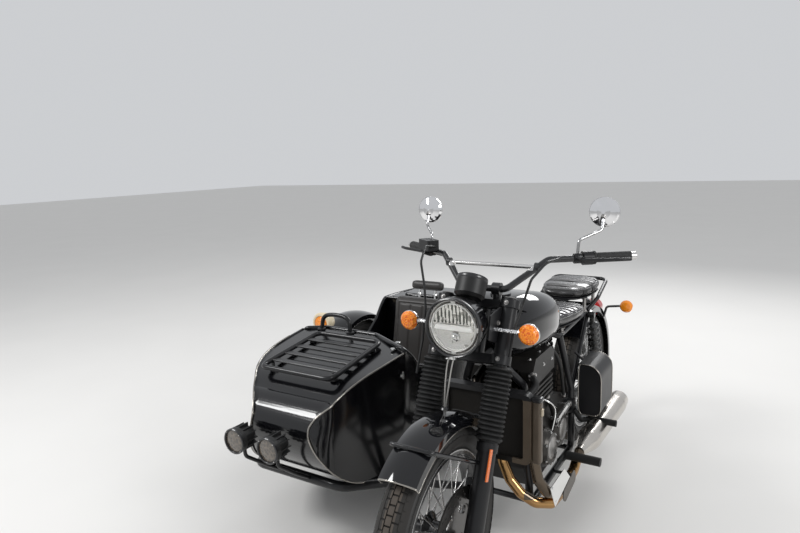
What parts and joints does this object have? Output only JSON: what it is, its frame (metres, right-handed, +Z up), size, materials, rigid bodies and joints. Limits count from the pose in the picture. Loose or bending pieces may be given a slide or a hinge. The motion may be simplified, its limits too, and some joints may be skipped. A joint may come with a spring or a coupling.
{
  "type": "sidecar motorcycle",
  "caption": "Parallel-twin road motorcycle with a hollow right-hand sidecar on its own sprung wheel; steers, rolls on wire wheels, and the sidecar's trunk lid opens.",
  "frame": {"origin": "on the ground under the middle of the vehicle's box", "axes": "-Y forward, +X to the motorcycle's left, +Z up; the sidecar is on the -X side"},
  "size_m": [1.665, 2.2379, 1.3069],
  "materials": {
    "black_frame": "semi-gloss black powder coat",
    "satin_black": "satin black",
    "gloss_black": "deep gloss black lacquer",
    "black_engine": "matt black engine paint",
    "engine_alloy": "dark coated alloy with bright edges",
    "radiator_core": "dull fin core",
    "black_plastic": "matt moulded",
    "saddle_leather": "grained, sewn in channels",
    "seat_leather": "grained with piping",
    "exhaust_steel": "heat-tinted steel",
    "shock_black": "gloss black spring",
    "black_rubber": "matt rubber",
    "red_lens": "clear red lens",
    "amber_lens": "clear amber lens",
    "lamp_glass": "clear glass",
    "chrome": "polished chrome",
    "tyre": "matt tyre rubber",
    "wheel_black": "black rim and hub, bright spokes"
  },
  "bodies": {
    "outfit": {"frame": "black_frame", "engine": "black_engine", "engine_covers": "engine_alloy", "radiator": "radiator_core", "radiator_shroud": "black_plastic", "fuel_tank": "gloss_black", "rider_saddle": "saddle_leather", "pillion_saddle": "saddle_leather", "grab_hoop": "black_frame", "side_boxes": "satin_black", "rear_fender": "gloss_black", "rear_lamps": "red_lens", "header_pipes": "exhaust_steel", "muffler": "exhaust_steel", "swingarm": "black_frame", "rear_shocks": "shock_black", "foot_controls": "black_rubber", "chain_drive": "black_plastic", "sidecar_chassis": "black_frame", "sidecar_tub": "gloss_black", "tub_rails": "black_frame", "seat_cushion": "seat_leather", "seat_back": "seat_leather", "head_pad": "seat_leather", "sidecar_fender": "gloss_black", "sidecar_lamps": "black_plastic", "wheel_arm": "black_frame"},
    "trunk_lid": {"trunk_lid": "gloss_black"},
    "steering": {"fork_legs": "satin_black", "fork_gaiters": "black_rubber", "fork_yokes": "satin_black", "front_fender": "gloss_black", "headlamp_shell": "gloss_black", "headlamp_lens": "lamp_glass", "front_signals": "amber_lens", "gauge": "black_plastic", "handlebar": "satin_black", "grips": "black_rubber", "controls": "satin_black", "mirrors": "chrome", "front_caliper": "satin_black", "control_cables": "black_plastic"},
    "front_wheel": {"front_tyre": "tyre", "front_wheel": "wheel_black"},
    "rear_wheel": {"rear_tyre": "tyre", "rear_wheel": "wheel_black"},
    "sidecar_wheel": {"sidecar_tyre": "tyre", "sidecar_wheel": "wheel_black"}
  },
  "joints": [
    {"name": "steering_turn", "type": "hinge", "parent": "outfit", "child": "steering", "pos_m": [0.39745, -0.74422, 0.31498], "axis": [0, 0.4226, 0.9063], "range_deg": [-35, 35]},
    {"name": "front_wheel_spin", "type": "hinge", "parent": "steering", "child": "front_wheel", "pos_m": [0.39745, -0.785, 0.334], "axis": [1, 0, 0], "continuous": true},
    {"name": "rear_wheel_spin", "type": "hinge", "parent": "outfit", "child": "rear_wheel", "pos_m": [0.39745, 0.749, 0.334], "axis": [1, 0, 0], "continuous": true},
    {"name": "sidecar_wheel_spin", "type": "hinge", "parent": "outfit", "child": "sidecar_wheel", "pos_m": [-0.75255, 0.38, 0.3], "axis": [1, 0, 0], "continuous": true},
    {"name": "trunk_lid_hinge", "type": "hinge", "parent": "outfit", "child": "trunk_lid", "pos_m": [-0.31255, 0.548, 0.716], "axis": [1, 0, 0], "range_deg": [0, 80]}
  ]
}
